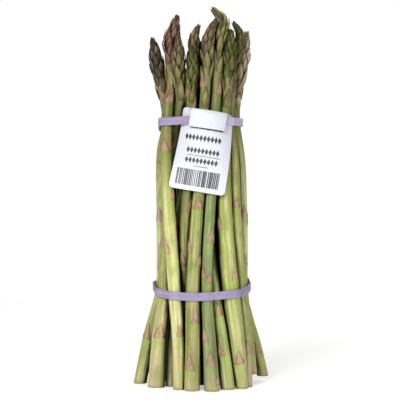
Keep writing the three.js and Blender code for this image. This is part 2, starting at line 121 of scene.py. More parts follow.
card = {
    "width": 35, "length": 50.5, "thickness": 0.6, "corner": 2.5, "tilt": math.radians(9.4),
    "top": (5.9, 172.1), "front": [(0, -25.6), (10, -26), (50.5, -26.6)],
    "bend": [(0, 1 / 19), (14, 1 / 21), (50.5, 1 / 120)], "bendCentre": 4, "gap": 1.1,
    "leftReach": [(0, -11), (14, -12.5), (32.5, -17), (50.5, -21)],
    "rightReach": [(0, 22), (50.5, 18)],
    "tongue": (-10, 9.9), "tongueTop": 1.1, "tongueEnd": 11.3, "slot": 0.6,
    # how far the band pushes the tongue out, and how that fades beside and below it
    "lift": [(0, 2.2), (1.1, 2.8), (3, 3.1), (11.3, 2.8)], "fadeAside": 4, "fadeDown": 1.8,
    # across and down, where the upper band may touch the card; how far it holds spears back
    "marginEdges": (-14, 14), "bandAt": (3.5, 6, 8.5), "endReach": 4,
}

# path: x, y, z of the centre line; radii: at the foot and the two bands;
# scales: height and bearing of the scale leaves that show; head: the tip's colouring
spears = [
    {"name": "left_outer", "skin": "leafy", "head": "plum", "radii": (4.2, 3.9, 3.4),
     "path": [(-39.4, 3, 0), (-33.4, 3, 30), (-26.2, 4, 60), (-24.6, 3, 100), (-25, 0, 146),
              (-21.4, -5, 166), (-22.5, -7, 176), (-24.2, -8, 186), (-27.2, -8, 200),
              (-30.8, -8, 220)],
     "headSize": 1.1, "scales": [(28, -34), (103, -30), (60, 20), (140, -10), (176, 0)]},
    {"name": "left_tan", "skin": "tan", "head": "brown", "radii": (5.4, 4.2, 3.4),
     "path": [(-26.3, -14, 0), (-24.8, -14, 30), (-21.6, -12, 60), (-19.5, -8, 100),
              (-16.5, -5, 140), (-13.6, -10, 172), (-13, -16, 186), (-13.8, -15.6, 200),
              (-14, -14.6, 220)],
     "scales": [(30.5, 0), (87, -25), (120, 10), (150, 0)]},
    {"name": "left_pale", "skin": "pale", "head": "rose", "radii": (3.6, 4, 3.6),
     "path": [(-12.4, -25, 0), (-13, -22.5, 30), (-15.2, -20.5, 60), (-17.6, -18.5, 100),
              (-19.4, -16, 140), (-17.4, -14, 172), (-14.8, -10, 186), (-15.6, -8, 202),
              (-15.8, -7, 217), (-12.2, -7, 234)],
     "headSize": 1.2, "scales": [(32, 19), (83, -55), (116, 55), (146, -20), (176, 10)]},
    {"name": "left_inner", "skin": "green", "head": "brown", "radii": (4, 3.9, 3.2),
     "path": [(-18, -11, 0), (-16.5, -9, 30), (-13.8, -7, 60), (-13.4, -8, 100), (-13.4, -10, 140),
              (-9.8, -10, 172), (-7, -12, 186), (-5, -12, 202), (-6, -12, 219), (-2.8, -11, 227.5)],
     "scales": [(158, 0), (170, 0), (184, 10)]},
    {"name": "front_olive", "skin": "olive", "head": "leaf", "radii": (3.8, 3.6, 3.1),
     "path": [(-8, -9, 0), (-9, -9.5, 30), (-10, -12.6, 60), (-10.6, -18.2, 100),
              (-8.4, -20, 140), (-9, -19.6, 172), (-9, -20.4, 186), (-7.6, -20.6, 201),
              (-8.4, -20, 213)],
     "scales": [(76, -30), (109, 50), (170, 60), (180, -40)]},
    {"name": "front_middle", "skin": "green", "head": "brown", "radii": (4.7, 4.3, 3.2),
     "path": [(-5.3, -29, 0), (-4.7, -26, 30), (-4.6, -22.8, 60), (-2.4, -22.4, 100),
              (0.8, -22, 140), (2.5, -20.8, 172), (4.3, -19.6, 200), (5.6, -19, 219),
              (10.4, -18, 230.5)],
     "scales": [(12, -25), (40, 25), (76, 50), (84, -60), (111, 8), (150, 0), (186, -50)]},
    {"name": "front_right", "skin": "blueGreen", "head": "olive", "radii": (4.9, 3.5, 3.2),
     "path": [(7.6, -30, 0), (6.2, -26.5, 30), (4.8, -23, 60), (5.9, -22, 100), (8.9, -20.4, 140),
              (10.8, -18.6, 172), (12.4, -15.5, 200), (14.8, -12, 222), (15.8, -9, 230.5),
              (9, -6, 238.5)],
     "loose": 1.7, "scales": [(3, 50), (14.6, 0), (29, -45), (48, 25), (68, -45), (90, 40),
                              (140, 0), (182, 40)]},
    {"name": "right_inner", "skin": "grass", "head": "plum", "radii": (4.5, 3.7, 3.3),
     "path": [(18.6, -23.5, 0), (15, -21.5, 30), (9.8, -17.4, 60), (6.6, -14.6, 90),
              (6, -12.6, 140), (8.6, -10, 172), (13.4, -6, 200), (18.4, -3, 226)],
     "scales": [(44, 10), (20, -30), (120, 0), (192, 0)]},
    {"name": "right_pale", "skin": "straw", "head": "leaf", "radii": (3.9, 5.3, 3.2),
     "path": [(24.6, -20.5, 0), (21.6, -20, 30), (18.6, -19.4, 60), (16, -19.4, 100),
              (16.4, -17.4, 140), (18, -15.4, 172), (19.2, -14.4, 200), (19.6, -13, 224)],
     "headSize": 0.85, "loose": 1.5,
     "scales": [(15, 0), (67, 40), (98, -55), (135, 10), (178, 20)]},
    {"name": "right_narrow", "skin": "straw", "head": "brown", "radii": (3.4, 3.3, 3),
     "path": [(23.4, -9, 0), (21.4, -8.6, 30), (18.4, -9, 60), (17.4, -9.4, 100), (16, -6.6, 140),
              (15.4, -3, 172), (17.5, 0.6, 200), (15.5, 2, 214)],
     "scales": [(114, 0), (70, 30), (190, 0)]},
    {"name": "right_olive", "skin": "rosy", "head": "leaf", "radii": (3.3, 3.5, 3.2),
     "path": [(29.4, -13.4, 0), (28.6, -12.6, 30), (25.6, -11.6, 60), (22.8, -12.4, 100),
              (22.4, -11.4, 140), (21, -8, 172), (20.8, -8.6, 200), (24.6, -8, 214),
              (25.6, -7, 221), (21, -6, 230)],
     "headSize": 0.8, "loose": 1.2, "scales": [(112, 10), (149, 0), (188, 20), (20, 10)]},
    {"name": "right_outer", "skin": "leafy", "head": "pink", "radii": (3.2, 3.3, 3),
     "path": [(33, -5.4, 7), (30.8, -5, 30), (27.4, -4, 60), (27, -3.6, 100), (26, -1.8, 140),
              (22.6, -0.4, 172), (26.4, -2, 200), (30, -3, 224.5)],
     "loose": 1.5, "scales": [(36, 0), (105, 28), (75, 20), (185, 30)]},
    {"name": "right_far", "skin": "grass", "head": "brown", "radii": (3.8, 3, 3),
     "path": [(42.8, 15, 3), (36.8, 14, 30), (28.4, 10, 60), (25.4, 7.6, 100), (25, 8.6, 140),
              (21.6, 9, 172), (24, 10, 200), (25, 10, 213)],
     "scales": [(44, -20), (16, 0)]},
]

# the spears behind: x and y at the lower band, height of the tip
behind = {
    "places": [(-12.5, 1, 208), (0.5, -2, 218), (12.5, -3, 214), (20.5, 3, 208), (-19.5, 9, 200),
               (-5.5, 6, 221), (4, 8, 212), (13, 7.5, 219), (19, 14, 205), (-12, 17.5, 209),
               (-1.5, 17.5, 215), (8.5, 18, 205)],
    "skins": ("green", "olive", "grass", "straw"), "heads": ("brown", "plum", "leaf"),
    "radii": (4.4, 4.2, 3.4), "lean": 1.2,
    "spread": [(1.36, 0), (1.16, 30), (1, 60), (0.95, 110), (0.84, 170), (0.96, 195)],
    "tipSpread": 1.02,
}

for number, (x, y, tip) in enumerate(behind["places"]):
    draw = makeDraw(101 + 37 * number)
    size = 1 + 0.07 * draw()
    path = [(x * spread + behind["lean"] * draw(), y * spread + behind["lean"] * draw(), z)
            for spread, z in behind["spread"] + [(behind["tipSpread"], tip)]]
    spears.append({"name": f"inner_{number + 1:02d}", "skin": behind["skins"][number % 4],
                   "head": behind["heads"][number % 3], "path": path, "scales": [],
                   "radii": tuple(radius * size for radius in behind["radii"])})

for spear in spears:
    spear["foot"], spear["tip"] = spear["path"][0][2], spear["path"][-1][2]
    spear["neck"] = spear["tip"] - lay["headLength"]
    spear["lines"] = [[(point[2], point[axis]) for point in spear["path"]] for axis in (0, 1)]


def coreRadius(spear, z):
    foot, low, high = spear["radii"]
    stem = through([(spear["foot"], foot), (lay["lowBand"], low), (lay["highBand"], high)], z)
    t = (z - spear["neck"]) / lay["headLength"]
    # a stouter or slimmer head widens or narrows within its first third
    size = 1 + (spear.get("headSize", 1) - 1) * np.clip(3 * t, 0, 1)
    return np.where(t > 0, stem * through(lay["headFullness"], t) * size, stem)


def roomRadius(spear, z):
    t = (z - spear["neck"]) / lay["headLength"]
    room = lay["bractRoom"] * np.clip(t * 4, 0, 1) * np.clip((1 - t) * 4, 0, 1)
    return coreRadius(spear, z) + room


def settleSpears():
    # pushes the spears apart at each level, inside the bundle's outline and behind the card
    share, ease = lay["pushShare"], lay["ease"]
    heights = np.arange(lay["levelCount"]) * float(lay["levelStep"])
    first = np.array([math.ceil(s["foot"] / lay["levelStep"]) for s in spears])
    last = np.array([math.floor(s["tip"] / lay["levelStep"]) for s in spears])
    level = np.arange(lay["levelCount"])
    live = (level >= first[:, None]) & (level <= last[:, None])
    room = np.array([roomRadius(s, heights) for s in spears])
    aim = np.array([np.stack([through(line, heights) for line in s["lines"]], 1) for s in spears])
    both = live[:, None] & live[None] & ~np.eye(len(spears), dtype=bool)[:, :, None]
    reach = room[:, None] + room[None] + lay["gap"]
    left, right = through(lay["leftLimit"], heights), through(lay["rightLimit"], heights)
    down = (card["top"][1] - heights) / math.cos(card["tilt"])
    nearCard = (down > -card["endReach"]) & (down < card["length"] + card["endReach"])
    radius = 1 / through(card["bend"], down)
    middle = through(card["front"], down) + radius
    below = np.maximum(level - 1, first[:, None])
    above = np.minimum(level + 1, last[:, None])
    rows = np.arange(len(spears))[:, None]
    shift = np.zeros_like(aim)
    for turn in range(lay["rounds"] + lay["lastRounds"]):
        place = aim + shift
        between = place[:, None] - place[None]
        distance = np.hypot(between[..., 0], between[..., 1])
        lack = np.where(both, np.maximum(reach - distance, 0), 0)
        part = share * lack / np.where(distance > 0, distance, 1)
        push = (between * part[..., None]).sum(1)
        push[..., 0] += share * (np.maximum(left + room - place[..., 0], 0)
                                 - np.maximum(place[..., 0] + room - right, 0))
        fromMiddle = place - np.stack([np.full_like(middle, card["bendCentre"]), middle], 1)
        out = np.hypot(fromMiddle[..., 0], fromMiddle[..., 1])
        tooNear = out + room + card["gap"] - radius
        held = ((tooNear > 0) & (fromMiddle[..., 1] < 0) & nearCard
                & (place[..., 0] > through(card["leftReach"], down))
                & (place[..., 0] < through(card["rightReach"], down)))
        push -= np.where(held, share * tooNear / out, 0)[..., None] * fromMiddle
        moved = shift + push * live[..., None]
        if turn < lay["rounds"]:
            even = 0.5 * moved + 0.25 * (moved[rows, below] + moved[rows, above])
            moved = np.where(live[..., None], ease * even, moved)
        shift = moved
    for k, spear in enumerate(spears):
        kept = slice(first[k], last[k] + 1)
        spear["shifts"] = [list(zip(heights[kept], shift[k, kept, axis])) for axis in (0, 1)]


def centre(spear, z):
    held = np.clip(z, spear["foot"], spear["tip"])
    across = [through(spear["lines"][axis], held) + through(spear["shifts"][axis], held)
              for axis in (0, 1)]
    return np.stack([*across, z], -1)


def unit(vectors):
    return vectors / np.linalg.norm(vectors, axis=-1, keepdims=True)


def onSpear(spear, z, bearing, distance):
    # points at heights, bearings and distances from the centre line, square to it
    z, bearing, distance = np.broadcast_arrays(np.asarray(z, float), bearing, distance)
    below, above = np.maximum(z - 1.5, spear["foot"]), np.minimum(z + 1.5, spear["tip"])
    along = unit(centre(spear, above) - centre(spear, below))
    turned = np.clip((z - spear["foot"]) / 20, 0, 1)[..., None]  # the foot is cut level
    along = unit(along * turned + np.array([0, 0, 1]) * (1 - turned))
    back = unit(np.array([0, 1, 0]) - along * along[..., 1:2])
    right = np.cross(back, along)
    return (centre(spear, z) + right * (np.sin(bearing) * distance)[..., None]
            - back * (np.cos(bearing) * distance)[..., None])


shade = {
    "step": 3.0, "turns": 24, "fan": [-75, -50, -25, 0, 25, 50, 75],
    # the light that gets between the spears, by openness, painted into the colours as shade
    "light": [(0.08, 0), (0.28, 0.12), (0.47, 0.55), (0.71, 1)],
    # openness added low down, where the feet stand apart, by height
    "fromBelow": [(22, 0.03), (44, 0)],
    "reach": 0.7,  # how far beside a leaf its shadow goes, mm
}


def findOpenness():
    # by height and bearing, how much of the view out from a spear misses the others
    heights = np.arange(0, 243, shade["step"])
    fan = np.radians(shade["fan"])
    turns = np.linspace(0, 2 * math.pi, shade["turns"] + 1)
    skinward = np.stack([np.sin(turns), -np.cos(turns)], -1)
    look = turns[:, None] + fan
    look = np.stack([np.sin(look), -np.cos(look)], -1)
    places = np.array([centre(spear, heights)[:, :2] for spear in spears])
    reaches = np.array([roomRadius(spear, heights) * (heights >= spear["foot"])
                        * (heights <= spear["tip"]) for spear in spears])
    for k, spear in enumerate(spears):
        start = places[k][:, None] + coreRadius(spear, heights)[:, None, None] * skinward
        toward = places[:, :, None] - start
        ahead = np.einsum("nltx,tfx->nltf", toward, look)
        aside = (toward ** 2).sum(-1)[..., None] - ahead ** 2
        hidden = (ahead > 0) & (aside < reaches[:, :, None, None] ** 2)
        hidden[k] = False
        spear["openness"] = 1 - (hidden.any(0) * np.cos(fan)).sum(-1) / np.cos(fan).sum()


def lightAt(spear, z, bearing):
    # the light between the spears at heights and bearings, 0 to 1, painted into the colours as
    # shade
    table = spear["openness"]
    row = np.clip(z / shade["step"], 0, len(table) - 1.001)
    column = bearing / (2 * math.pi) % 1 * shade["turns"]
    i, j = row.astype(int), column.astype(int)
    a, b = row - i, column - j
    opened = ((1 - a) * ((1 - b) * table[i, j] + b * table[i, j + 1])
              + a * ((1 - b) * table[i + 1, j] + b * table[i + 1, j + 1]))
    opened = opened + np.interp(z, *zip(*shade["fromBelow"]))
    return np.interp(opened, *zip(*shade["light"]))


settleSpears()
findOpenness()
print("spears settled")


growth = {
    "scaleLength": 8.4, "scaleWidth": 6.2, "scaleStand": 0.55, "pressedStand": 0.25,
    "fine": (40, 1.7), "coarse": (28, 2.4),  # sides of a stem and mm between its rows
    # by distance down from the tip: gap to the next bract, its length, width and stand
    "bractStep": [(0, 0.65), (10, 0.8), (26, 1.1), (34, 2.3), (44, 5), (60, 9)],
    "bractLength": [(3, 4.5), (12, 7), (26, 9), (40, 10.5), (60, 10.5)],
    "bractWidth": [(2, 2.4), (10, 3.5), (20, 4.2), (28, 4.8), (40, 5.1), (60, 5)],
    "bractStand": [(0, 0.3), (8, 0.7), (20, 0.95), (34, 0.9), (60, 0.5)],
    "lowestBract": 54, "aboveBand": 178,
    # heights of further scales on open and on hidden spears, which lie this near the middle
    "openRows": [22, 84, 112, 146], "hiddenRows": [100, 140], "hiddenWithin": 14,
    "clearBelow": 14, "clearAbove": 5,  # no scale grows this near a band
    # ribs: share of the radius, how many around, mm up for a radian of twist; waves: share, mm
    "ribs": [(0.016, 3, 55), (0.013, 5, -80)], "waves": (0.010, 8.5),
    # the materials see a stem of this radius, this far from the next spear's, mm
    "usualRadius": 4, "patternApart": 40,
    "shadowDown": 14,  # how far below it a leaf still shades another, mm
    # a leaf's gap to the skin and its keel, mm
    "leafGap": 0.28, "keel": 0.18,
    # a stem swells at a scale; how far the lip, the blush and the dry foot reach, mm
    "swelling": 0.35, "lipReach": 3.2, "blushReach": 9, "dryReach": 9,
    # the hollowed cut and its edge: mm up, share of the radius, which material
    "cutFoot": [(0.55, 0, 2), (0.5, 0.35, 2), (0.35, 0.62, 2), (0.12, 0.84, 2), (0, 0.93, 2),
                (0.25, 0.99, 0), (0.8, 1.01, 0)],
    # how many bracts stand loose, how far their tips lean out, and the tip that stays shut, mm
    "looseShare": 0.25, "flare": 0.9, "tightTip": 14,
    # half width along a leaf, root to tip
    "scaleShape": [(0, 0.9), (0.14, 1), (0.5, 0.6), (0.8, 0.26), (1, 0.02)],
    "bractShape": [(0, 0.8), (0.25, 1), (0.5, 0.8), (0.75, 0.42), (1, 0.03)],
}


def thicken(sheet, thickness):
    # a flat sheet becomes a shell that stands on z = 0
    bmesh.ops.solidify(sheet, geom=sheet.faces[:], thickness=thickness)
    low = min(vert.co.z for vert in sheet.verts)
    bmesh.ops.translate(sheet, vec=(0, 0, -low), verts=sheet.verts)


def makeLeafForm():
    # a leaf as a shell: x across from -1 to 1, y from root to tip and z through it from 0 to 1
    form = bmesh.new()
    bmesh.ops.create_grid(form, x_segments=4, y_segments=5, size=1)
    bmesh.ops.scale(form, vec=(1, 0.5, 1), verts=form.verts)
    bmesh.ops.translate(form, vec=(0, 0.5, 0), verts=form.verts)
    for vert in form.verts:
        vert.co.y = 1 - (1 - vert.co.y) ** 1.4  # more rows towards the tip, which shows
    thicken(form, 1)
    bmesh.ops.recalc_face_normals(form, faces=form.faces)
    mesh = bpy.data.meshes.new("leafForm")
    form.to_mesh(mesh)
    form.free()
    return mesh


def scalesOf(spear, index):
    # where the scale leaves of the stem grow, the shown ones first
    draw = makeDraw(7 + 53 * index)
    scales = [{"z": z, "bearing": math.radians(degrees), "stand": growth["scaleStand"]}
              for z, degrees in spear["scales"]]
    x, y, _ = centre(spear, lay["lowBand"])
    outside, buried = math.atan2(x, -y), math.hypot(x, y) < growth["hiddenWithin"]
    shown = len(scales) > 0
    for k, z in enumerate(growth["hiddenRows" if shown or buried else "openRows"]):
        turn = (0.6 if k % 2 else -0.6) + 0.3 * draw()
        scales.append({"z": z + 5 * draw(), "bearing": (math.pi if shown else outside) + turn,
                       "stand": growth["pressedStand" if shown or buried else "scaleStand"]})
    scales = [scale for scale in scales if scale["z"] < spear["neck"] - 4]
    for scale in scales:
        for band in (lay["lowBand"], lay["highBand"]):
            if band - growth["clearBelow"] < scale["z"] < band + growth["clearAbove"]:
                scale["z"] = band + growth["clearAbove"]
    for scale in scales:
        size, slender = 1 + 0.25 * draw(), 1 + 0.15 * draw()
        scale.update(length=growth["scaleLength"] * size * slender,
                     width=growth["scaleWidth"] * size / slender, thick=0.5,
                     shape="scaleShape", flare=0, shadow=0.1, chance=0.5 + 0.5 * draw())
    return scales


def bractsOf(spear, index):
    # bracts in a golden spiral, sparse on the shoulder and tightly overlapping on the head
    draw = makeDraw(911 + 71 * index)
    loose = spear.get("loose", 1)
    bracts = []
    z = max(spear["tip"] - growth["lowestBract"], growth["aboveBand"]) + 3 * draw()
    bearing = math.pi * draw()
    while z < spear["tip"] - 3:
        down = spear["tip"] - z
        length = through(growth["bractLength"], down) * (1 + 0.15 * draw())
        isLoose = draw() > 1 - 2 * growth["looseShare"]
        bracts.append({
            "z": z, "bearing": bearing, "length": min(length, down + 0.3),
            "width": through(growth["bractWidth"], down) * (1 + 0.12 * draw()),
            "stand": through(growth["bractStand"], down) * loose * (1 + 0.25 * draw()),
            "thick": 0.45, "shape": "bractShape", "shadow": 0.6, "chance": 0.5 + 0.5 * draw(),
            "flare": (growth["flare"] * loose * (0.7 + 0.3 * draw()) if isLoose else 0.15 * loose)
            * min(down / growth["tightTip"], 1)})
        z += through(growth["bractStep"], down) * (1 + 0.15 * draw())
        bearing += math.radians(137.5 + 9 * draw())
    return bracts


def leafPoints(spear, leaf, form):
    across, along, depth = form.T
    z = np.minimum(leaf["z"] + along * leaf["length"], spear["tip"])
    rest = coreRadius(spear, z)
    half = 0.5 * leaf["width"] * through(growth[leaf["shape"]], along)
    swell = leaf["stand"] * (1 - (1 - along) ** 2.2) * (1 - 0.25 * along ** 3)
    keel = growth["keel"] * (1 - np.abs(across)) * np.sin(math.pi * np.clip(along, 0, 1))
    thick = leaf["thick"] * (1 - 0.55 * along) * (1 - 0.5 * across ** 4)
    distance = (rest + growth["leafGap"] + swell * (1 - 0.4 * across ** 2) + keel
                - (1 - depth) * thick + leaf["flare"] * along ** 3)
    bearing = leaf["bearing"] + across * np.minimum(half / np.maximum(rest + swell, 0.8), 1.5)
    return onSpear(spear, z, bearing, np.maximum(distance, 0.05)), bearing, z


def underLeaves(spear, z, bearing, leaves):
    # painted shadow: how dark it is right beside the leaves that lie over a place, 0 to 1 for open
    # skin
    seen = np.ones_like(z)
    rest = coreRadius(spear, z)
    for leaf in leaves:
        up = (z - leaf["z"]) / leaf["length"]
        half = 0.5 * leaf["width"] * through(growth[leaf["shape"]], np.clip(up, 0, 1))
        aside = np.abs(np.angle(np.exp(1j * (bearing - leaf["bearing"])))) * rest - half
        away = np.hypot(np.maximum(aside, 0), np.maximum(up - 1, 0) * leaf["length"])
        dark = leaf["shadow"] * np.exp(-(away / shade["reach"]) ** 2) * (up > 0.05)
        seen = np.minimum(seen, 1 - dark)
    return seen


def stemRows(spear, row):
    # (height, share of the radius, part) from the middle of the cut face up to the tip
    foot, tip = spear["foot"], spear["tip"]
    cut = [(foot + up, share, part) for up, share, part in growth["cutFoot"]]
    steps = max(int((tip - foot - 2) / row), 8)
    sides = [(foot + 1.4 + (tip - foot - 1.6) * k / steps, 1.0, 0) for k in range(steps)]
    return cut + sides + [(tip, 0.0, 0)]


def dressSpear(spear, index, leafForm):
    form = np.array([vert.co[:] for vert in leafForm.vertices])
    sides, row = growth["coarse" if spear["name"].startswith("inner") else "fine"]
    rows = stemRows(spear, row)
    draw = makeDraw(4001 + 17 * index)
    phases = [math.pi * draw() for _ in range(4)]
    scales = scalesOf(spear, index)
    leaves = scales + bractsOf(spear, index)

    plant = bmesh.new()
    straight = plant.verts.layers.float_vector.new("straight")  # as if the spear were straight, mm
    leafPlace = plant.verts.layers.float_vector.new("leafPlace")  # across, along, chance
    # marks: the lip under a scale (above 0) or the blush over it (below 0), foot, head,
    # which on the skin paints shade towards the head, between the bracts
    marks = plant.verts.layers.float_vector.new("marks")
    lightIn = plant.verts.layers.float.new("lightIn")
    usual, away = growth["usualRadius"], growth["patternApart"] * index

    def putDown(verts, points, z, bearing, lipOrBlush, head, over):
        # vertices in place, with what the materials read, painted light among it; over: the leaves
        # whose painted shadow falls on them
        lit = lightAt(spear, z, bearing) * underLeaves(spear, z, bearing, over)
        dry = np.exp(-(z - spear["foot"]) / growth["dryReach"])
        marked = np.stack(np.broadcast_arrays(lipOrBlush, dry, head), 1)
        upright = np.stack([usual * np.sin(bearing) + away, usual * np.cos(bearing), z], 1)
        for k, vert in enumerate(verts):
            vert.co = points[k] * metres
            vert[straight], vert[marks], vert[lightIn] = upright[k], marked[k], lit[k]

    bmesh.ops.create_grid(plant, x_segments=sides, y_segments=len(rows) - 1, size=0.5)
    grid = np.array([vert.co[:2] for vert in plant.verts]) + 0.5
    bearing = grid[:, 0] * 2 * math.pi
    rowOf = np.rint(grid[:, 1] * (len(rows) - 1)).astype(int)
    heights, shares, _ = (np.array(column)[rowOf] for column in zip(*rows))
    ribs = 1
    for (deep, many, twist), phase in zip(growth["ribs"], phases):
        ribs = ribs + deep * np.cos(many * bearing + phase + heights / twist)
    deep, long = growth["waves"]
    ribs = ribs + deep * np.sin(heights / long + phases[2]) * np.cos(bearing + phases[3])
    distance = coreRadius(spear, heights) * shares * ribs
    under, blush = np.zeros_like(heights), np.zeros_like(heights)
    for scale in scales:
        aside = np.angle(np.exp(1j * (bearing - scale["bearing"])))
        fade = np.exp(-(aside * usual / (0.6 * scale["width"])) ** 2)
        up = heights - scale["z"]
        distance += growth["swelling"] * np.exp(-((up - 1.2) / 2.4) ** 2) * fade * (shares > 0.9)
        below = np.exp(-np.abs(up + 2.2) / growth["lipReach"])
        under = np.maximum(under, fade * below * (up < 1.5))
        past = np.maximum(up - 0.6 * scale["length"], 0)
        above = np.exp(-past / growth["blushReach"]) * (up > 2)
        blush = np.maximum(blush, np.sqrt(fade) * above)
    points = onSpear(spear, heights, bearing, distance)
    # the head mark on the stem: painted shade, near black between the bracts
    head = np.clip((heights - spear["neck"] + 6) / 12, 0, 1)
    stemVerts = plant.verts[:]
    putDown(stemVerts, points, heights, bearing, under - blush, head, leaves)
    for face in plant.faces:
        low = min(rowOf[vert.index] for vert in face.verts)
        face.material_index = int(rows[low + 1][2])

    for leaf in leaves:
        was, wasFaces = len(plant.verts), len(plant.faces)
        plant.from_mesh(leafForm)
        plant.verts.ensure_lookup_table()
        plant.faces.ensure_lookup_table()
        points, turned, z = leafPoints(spear, leaf, form)
        head = min(max((leaf["z"] - spear["neck"] + 22) / 24, 0), 1)
        lower = [other for other in leaves if 0 < leaf["z"] - other["z"] < growth["shadowDown"]]
        putDown(plant.verts[was:], points, z, turned, 0, head, lower)
        for vert, (across, along, _) in zip(plant.verts[was:], form):
            vert[leafPlace] = (across, along, leaf["chance"])
        for face in plant.faces[wasFaces:]:
            face.material_index = 0 if leaf["shape"] == "scaleShape" else 1
    bmesh.ops.remove_doubles(plant, verts=stemVerts, dist=1e-6)
    bmesh.ops.recalc_face_normals(plant, faces=plant.faces)
    return plant


def newObject(name, data):
    made = bpy.data.objects.new(name, data)
    bpy.context.scene.collection.objects.link(made)
    return made


def toObject(shape, name, materials):
    mesh = bpy.data.meshes.new(name)
    shape.to_mesh(mesh)
    shape.free()
    for material in materials:
        mesh.materials.append(material)
    return newObject(name, mesh)


def toPiece(shape, name, materials, node):
    piece = toObject(shape, name, materials)
    piece.data.shade_smooth()
    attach(piece, "root")
    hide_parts(node)
    return piece


skinTones = {
    # colours from the foot up by share of 240 mm, then the deep and the light streaks
    "green": ([(0, "#A69C6E"), (0.12, "#9A965A"), (0.4, "#9EA05C"), (0.6, "#949852"),
               (0.75, "#7E8648"), (0.88, "#6E6C40"), (1, "#5E5238")], "#6E803A", "#C8C492"),
    "leafy": ([(0, "#8E9850"), (0.08, "#8C984A"), (0.2, "#B0B46E"), (0.28, "#DEE0A8"),
               (0.42, "#EAEABC"), (0.6, "#A6A864"), (0.7, "#8C904A"), (0.84, "#72704A"),
               (1, "#5E5038")], "#8A9A44", "#D8D6A6"),
    "grass": ([(0, "#AEAE70"), (0.06, "#B0B66C"), (0.16, "#A6B062"), (0.3, "#9CA656"),
               (0.66, "#868C4C"), (0.8, "#757042"), (0.95, "#5E5238")], "#7C9040", "#C4C88E"),
    "straw": ([(0, "#C4BC90"), (0.12, "#C2BF88"), (0.3, "#ACB266"), (0.45, "#A4AC5C"),
               (0.6, "#98A052"), (0.75, "#7E824A"), (0.9, "#6C603C")], "#86983E", "#CED092"),
    "pale": ([(0, "#C6BA8C"), (0.12, "#CCC692"), (0.3, "#DCDA96"), (0.42, "#D2D28A"),
              (0.52, "#A6AC62"), (0.6, "#7E8444"), (0.72, "#6E6C3A"), (0.9, "#6A583C")],
             "#A2AC54", "#E6E4B0"),
    "blueGreen": ([(0, "#6A6C40"), (0.09, "#5A6C3E"), (0.22, "#7A8C56"), (0.4, "#909E62"),
                   (0.66, "#8A9254"), (0.8, "#7A7A4A"), (0.95, "#6A6042")], "#6A824A", "#A6AE80"),
    "rosy": ([(0, "#DEA2B0"), (0.07, "#D8A0A6"), (0.14, "#C09C84"), (0.22, "#A4A060"),
              (0.34, "#A2AA5A"), (0.5, "#A6AC5C"), (0.64, "#8C9A4A"), (0.76, "#7E824A"),
              (0.9, "#6C603C")], "#7E8E3E", "#CAC498"),
    "tan": ([(0, "#CABD94"), (0.1, "#C8BA8C"), (0.16, "#BDB482"), (0.22, "#A6A466"),
             (0.36, "#9C9C5E"), (0.6, "#82804A"), (0.8, "#6C6044"), (0.95, "#5A463A")],
            "#7E8842", "#D0C89A"),
    "olive": ([(0, "#9C9666"), (0.12, "#8A8850"), (0.3, "#7E8446"), (0.42, "#646C32"),
               (0.6, "#687036"), (0.77, "#687434"), (0.95, "#524C30")], "#5E6C28", "#A4A068"),
}

headTones = {
    # from dark to light, the colourings of a spear's bracts, then their edge and their green
    "plum": (["#34262A", "#4C3838", "#665042", "#7C6A4E"], "#A48C70", "#4C4E26"),
    "rose": (["#70424A", "#92545A", "#98625E", "#A07A66"], "#CC9892", "#6E6438"),
    "brown": (["#645040", "#826A54", "#947C5A", "#A29262"], "#C2AE8A", "#727A3A"),
    "olive": (["#6E6244", "#8C8056", "#9C925E", "#AEA46C"], "#CCBE90", "#7C8640"),
    "leaf": (["#40341F", "#58482E", "#6C5A3A", "#76703E"], "#9AB448", "#6C7E30"),
    "pink": (["#A0766E", "#C4968C", "#CCAC94", "#D4BA9C"], "#EAD6C2", "#AEA678"),
}

skinPatterns = {
    # scale per mm across and along, shift, detail, and the share it takes from low to high
    "flats": ((0.35, 0.35, 0.015), 0, 2.0, [(0.4, 0.0), (0.6, 0.75)]),
    "ribs": ((0.9, 0.9, 0.02), 30, 3.0, [(0.44, 0.0), (0.66, 0.85)]),
    "stains": ((0.2, 0.2, 0.07), 60, 4.0, [(0.46, 0.0), (0.64, 0.7)]),
    "rust": ((1.1, 1.1, 0.03), 90, 3.0, [(0.54, 0.0), (0.7, 0.6)]),
    "flecks": ((0.8, 0.8, 0.5), 120, 2.0, [(0.66, 0.0), (0.76, 0.7)]),
    "blotches": ((0.55, 0.55, 0.3), 150, 3.0, [(0.36, 0.0), (0.56, 1.0)]),
}


def readSpear(add):
    # what a spear's mesh carries: the place on the straightened spear, the place on a leaf,
    # the marks, and how much of the light between the spears gets there, painted in as shade
    straight, leafPlace, marked = [add("Attribute", attribute_name=name).outputs["Vector"]
                                   for name in ("straight", "leafPlace", "marks")]
    lightIn = add("Attribute", attribute_name="lightIn").outputs["Fac"]
    leaf, marks = [add("SeparateXYZ", [place]).outputs for place in (leafPlace, marked)]
    return straight, leaf, marks, lightIn


def paint(add, colour, layers, **settings):
    # layers of colour laid one over another, each by its share
    for share, tone in layers:
        colour = add("Mix", {0: share, 6: colour, 7: tone}, data_type="RGBA", **settings).outputs[2]
    return colour


